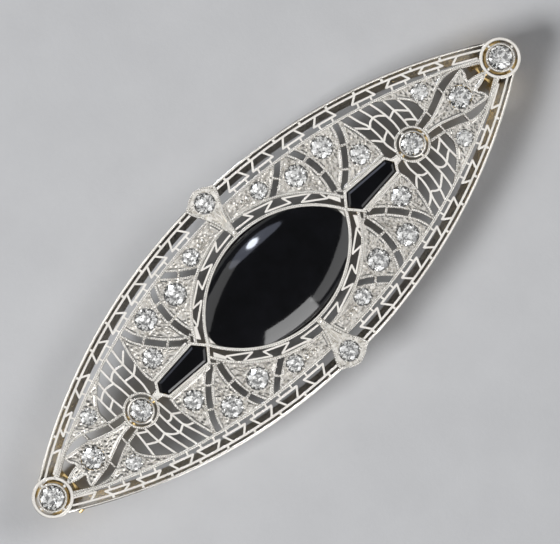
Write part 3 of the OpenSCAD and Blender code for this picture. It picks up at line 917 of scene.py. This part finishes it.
def make_floor():
    """A wide floor at the level of the brooch's lowest point."""
    half = FLOOR_HALF
    corners = [(-half, -half, 0), (half, -half, 0), (half, half, 0), (-half, half, 0)]
    mesh = bpy.data.meshes.new("floor")
    mesh.from_pydata([Vector(c) * MM for c in corners], [], [(0, 1, 2, 3)])
    mesh.materials.append(floor_look())
    floor = bpy.data.objects.new("floor", mesh)
    bpy.context.scene.collection.objects.link(floor)
    floor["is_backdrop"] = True
    return floor


def make_world():
    """A weak and even light from all sides."""
    world = bpy.data.worlds.new("studio")
    world.use_nodes = True
    background = world.node_tree.nodes["Background"]
    background.inputs["Color"].default_value = WORLD_COLOUR
    background.inputs["Strength"].default_value = WORLD_STRENGTH
    bpy.context.scene.world = world


# ---------------------------------------------------------------- lights

WHITE = (1, 1, 1)
COOL = (0.98, 0.99, 1.0)
SKY = (0.85, 0.9, 1.0)
BLUISH = (0.74, 0.80, 1.0)


def named_pieces(*starts):
    """The pieces whose names begin with one of the starts."""
    return [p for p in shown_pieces() if p.name.startswith(starts)]


def light_up(lit, name, azimuth, elevation, distance, size, watts, colour=WHITE, shape="RECTANGLE"):
    """A soft box that faces the brooch and falls on the lit objects alone, as with a studio's
    flags and cards. Azimuth runs from +X towards +Y."""
    data = bpy.data.lights.new(name, "AREA")
    data.shape = shape
    data.size, data.size_y = size[0] * MM, size[1] * MM
    data.energy = watts
    data.color = colour
    light = bpy.data.objects.new(name, data)
    a, e = math.radians(azimuth), math.radians(elevation)
    away = Vector((math.cos(a) * math.cos(e), math.sin(a) * math.cos(e), math.sin(e)))
    light.location = away * distance * MM
    light.rotation_euler = away.to_track_quat("Z", "Y").to_euler()
    bpy.context.scene.collection.objects.link(light)
    receivers = bpy.data.collections.new(name + "_receivers")
    for o in lit:
        receivers.objects.link(o)
    light.light_linking.receiver_collection = receivers


def make_lights(floor):
    """Two lights for the floor, four for the metal and the diamonds, two for the black stones, and
    three for the whole brooch."""
    onyx = named_pieces("onyx_cabochon", "onyx_tablet")
    gold_pieces = named_pieces("hinge", "pin_stem", "catch")
    bright = [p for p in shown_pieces() if p not in onyx]
    not_gold = [p for p in bright if p not in gold_pieces]
    brooch = bright + onyx
    light_up([floor], "key", 165, 44, 990, (360, 360), 8.2, COOL)
    light_up([floor], "fill", 345, 44, 990, (420, 420), 2.6)
    light_up(bright, "key_card", 110, 52, 330, (200, 160), 0.20)
    light_up(bright, "fill_card", 290, 52, 330, (140, 140), 0.08)
    light_up(not_gold, "overhead", 90, 84, 320, (300, 300), 0.26)
    light_up(brooch, "low_north", 85.6, 19, 300, (46, 64), 0.15, SKY, "ELLIPSE")
    light_up(onyx, "blue_strip", 85, 20, 310, (230, 110), 0.10, BLUISH, "ELLIPSE")
    light_up(brooch, "south_window", 258, 14, 300, (195, 150), 0.41)
    light_up(brooch, "southeast_panel", 316, 18, 300, (470, 110), 0.25)
    light_up(bright, "northwest_card", 132, 20, 300, (346, 95), 0.28)
    light_up(onyx, "northwest_panel", 132, 20, 300, (346, 95), 0.11)


# ---------------------------------------------------------------- camera

CAMERA_ROLL = 44.51
CAMERA_TILT = 1.0
CAMERA_DISTANCE = 200
FACE_Z = 6.6
VIEW_W = 58.9
OFFSET_RIGHT = 0.31
OFFSET_UP = 0.54
SENSOR_W = 36
CLIP = (0.01, 10)


def make_camera():
    """A camera almost straight above, turned so that the brooch runs up to the right."""
    roll = math.radians(CAMERA_ROLL)
    right = Vector((math.cos(roll), -math.sin(roll), 0))
    up = Vector((math.sin(roll), math.cos(roll), 0))
    target = (right * OFFSET_RIGHT + up * OFFSET_UP + Vector((0, 0, FACE_Z))) * MM
    tilt = math.radians(CAMERA_TILT)
    back = Vector((-math.sin(tilt), 0, math.cos(tilt)))
    side = up.cross(back).normalized()
    top = back.cross(side)
    at = target + back * CAMERA_DISTANCE * MM
    data = bpy.data.cameras.new("camera")
    data.sensor_width = SENSOR_W
    data.lens = SENSOR_W * CAMERA_DISTANCE / VIEW_W
    data.clip_start, data.clip_end = CLIP
    camera = bpy.data.objects.new("camera", data)
    camera.matrix_world = Matrix((
        (side.x, top.x, back.x, at.x),
        (side.y, top.y, back.y, at.y),
        (side.z, top.z, back.z, at.z),
        (0, 0, 0, 1),
    ))
    bpy.context.scene.collection.objects.link(camera)
    bpy.context.scene.camera = camera


make_lights(make_floor())
make_world()
make_camera()
bpy.context.scene.view_settings.view_transform = "Standard"
